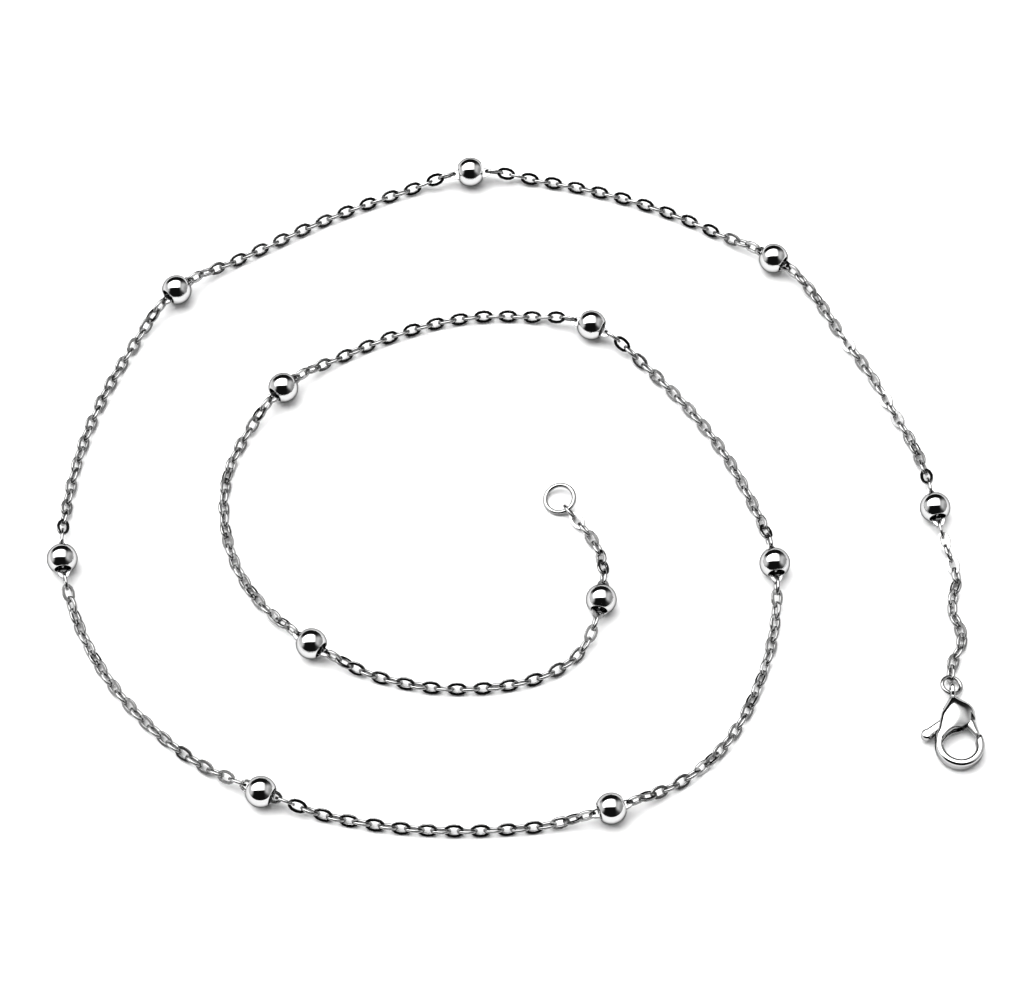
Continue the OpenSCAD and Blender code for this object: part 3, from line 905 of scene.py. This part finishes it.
class NECKLACE_OT_clasp_body(bpy.types.Operator):
    """Makes the clasp's cast body with its eye, its hook and the lever's pin"""
    bl_idname = "necklace.clasp_body"
    bl_label = "Clasp body"

    def execute(self, context):
        piece = cast_piece("clasp_body_cast", clasp_body_field, BODY_SPACE)
        settle(piece, BODY, "clasp_body")
        return {"FINISHED"}


class NECKLACE_OT_clasp_lever(bpy.types.Operator):
    """Makes the clasp's lever: thumb tab, hub and gate"""
    bl_idname = "necklace.clasp_lever"
    bl_label = "Clasp lever"

    def execute(self, context):
        piece = cast_piece("clasp_lever_cast", clasp_lever_field, LEVER_SPACE)
        settle(piece, LEVER, "clasp_lever")
        return {"FINISHED"}


def paper(hex_value):
    """Seamless white paper: flat and even, and it burns out to white under the panel."""
    material = bpy.data.materials.new("Seamless white paper")
    material.use_nodes = True
    tree = material.node_tree
    tree.nodes.clear()
    place = add(tree, "ShaderNodeTexCoord").outputs["Object"]
    tooth = add(tree, "ShaderNodeTexNoise", {
        "Vector": place, "Scale": 1 / (0.8 * MM), "Detail": 4.0})
    bump = add(tree, "ShaderNodeBump", {
        "Height": tooth.outputs["Fac"], "Strength": 0.3, "Distance": 0.01 * MM})
    shader = add(tree, "ShaderNodeBsdfPrincipled", {
        "Base Color": linear(hex_value), "Roughness": 0.9, "Specular IOR Level": 0.1,
        "Normal": bump.outputs["Normal"]})
    add(tree, "ShaderNodeOutputMaterial", {"Surface": shader.outputs["BSDF"]})
    return material


def studio_sky(sizes):
    """A dark room with one big soft panel overhead, seen by its direction from the table.

    The panel reaches far to the left, less to the right, and its rim fades out. The walls are
    pale on the left and grey on the right, and dark near the viewer and at the far end.
    """
    world = bpy.data.worlds.new("Dark room with overhead panel")
    world.use_nodes = True
    tree = world.node_tree
    tree.nodes.clear()
    toward = add(tree, "ShaderNodeTexCoord").outputs["Generated"]
    part = add(tree, "ShaderNodeSeparateXYZ", {"Vector": toward}).outputs
    maths = maths_in(tree)

    def ramp(value, start, end, low, high):
        return add(tree, "ShaderNodeMapRange", {
            "Value": value, "From Min": start, "From Max": end, "To Min": low, "To Max": high},
            interpolation_type="SMOOTHSTEP").outputs["Result"]

    def edged(light, value, edges):
        for edge in edges:
            light = maths("MULTIPLY", light, ramp(value, *edge))
        return light

    up = maths("MAXIMUM", part["Z"], 0.02)
    panel = edged(sizes.light_power, maths("DIVIDE", part["X"], up), PANEL_ACROSS)
    panel = edged(panel, maths("DIVIDE", part["Y"], up), PANEL_ALONG)
    left, right = ramp(part["X"], *LEFT_WALL), edged(1.0, part["X"], RIGHT_WALL)
    walls = edged(maths("ADD", left, right), part["Y"], WALLS_ALONG)
    strength = maths("ADD", panel, maths("ADD", walls, ROOM_LIGHT))
    # Past the floor's far edge a view from low down sees a pale backdrop, not the dark room
    seen = add(tree, "ShaderNodeLightPath").outputs["Is Camera Ray"]
    strength = maths("MAXIMUM", strength, maths("MULTIPLY", seen, BACKDROP_LIGHT))
    light = add(tree, "ShaderNodeBackground", {"Color": (1, 1, 1, 1), "Strength": strength})
    add(tree, "ShaderNodeOutputWorld", {"Surface": light.outputs["Background"]})
    return world


class NECKLACE_OT_stage(bpy.types.Operator):
    """Makes the paper floor, the panel overhead in a dim room, and the camera"""
    bl_idname = "necklace.stage"
    bl_label = "Stage and camera"

    def execute(self, context):
        scene, sizes = context.scene, context.scene.necklace_stage
        reach = sizes.floor_reach
        corners = [(-reach, -reach, 0), (reach, -reach, 0), (reach, reach, 0), (-reach, reach, 0)]
        new_object("paper_floor", corners, [(0, 1, 2, 3)], paper(sizes.paper))
        scene.view_settings.view_transform = "Standard"
        scene.view_settings.gamma = PICTURE_GAMMA
        scene.world = studio_sky(sizes)
        lens = bpy.data.cameras.new("view")
        lens.lens, lens.clip_start = sizes.lens, 0.01
        camera = bpy.data.objects.new("view", lens)
        back = Vector((0, -math.cos(sizes.elevation), math.sin(sizes.elevation)))
        camera.location = Vector((*CAMERA_AIM, 0)) + back * sizes.distance
        camera.rotation_euler = (math.pi / 2 - sizes.elevation, 0, 0)
        scene.collection.objects.link(camera)
        scene.camera = camera
        return {"FINISHED"}


class NECKLACE_PT_panel(bpy.types.Panel):
    """Lists the necklace's sizes and the steps that make it"""
    bl_label = "Station bead necklace"
    bl_idname = "NECKLACE_PT_panel"
    bl_space_type = "VIEW_3D"
    bl_region_type = "UI"
    bl_category = "Necklace"

    def draw(self, context):
        for name, group in GROUPS.items():
            box = self.layout.box()
            box.label(text=group.bl_rna.name)
            for prop in group.__annotations__:
                box.prop(getattr(context.scene, name), prop)
        for operator in OPERATORS:
            self.layout.operator(operator.bl_idname)


GROUPS = {
    "necklace_chain": ChainSizes, "necklace_bead": BeadSizes, "necklace_ring": RingSizes,
    "necklace_clasp": ClaspSizes, "necklace_stage": StageSizes}
OPERATORS = (
    NECKLACE_OT_chain, NECKLACE_OT_beads, NECKLACE_OT_rings, NECKLACE_OT_clasp_body,
    NECKLACE_OT_clasp_lever, NECKLACE_OT_stage)


def register():
    for kind in (*GROUPS.values(), *OPERATORS, NECKLACE_PT_panel):
        bpy.utils.register_class(kind)
    for name, group in GROUPS.items():
        setattr(bpy.types.Scene, name, bpy.props.PointerProperty(type=group))


def unregister():
    for name in GROUPS:
        delattr(bpy.types.Scene, name)
    for kind in (NECKLACE_PT_panel, *reversed(OPERATORS), *reversed(GROUPS.values())):
        bpy.utils.unregister_class(kind)


def main():
    register()
    bpy.ops.necklace.stage()
    bpy.ops.necklace.chain()
    bpy.ops.necklace.beads()
    bpy.ops.necklace.rings()
    bpy.ops.necklace.clasp_body()
    bpy.ops.necklace.clasp_lever()


if __name__ == "__main__":
    main()
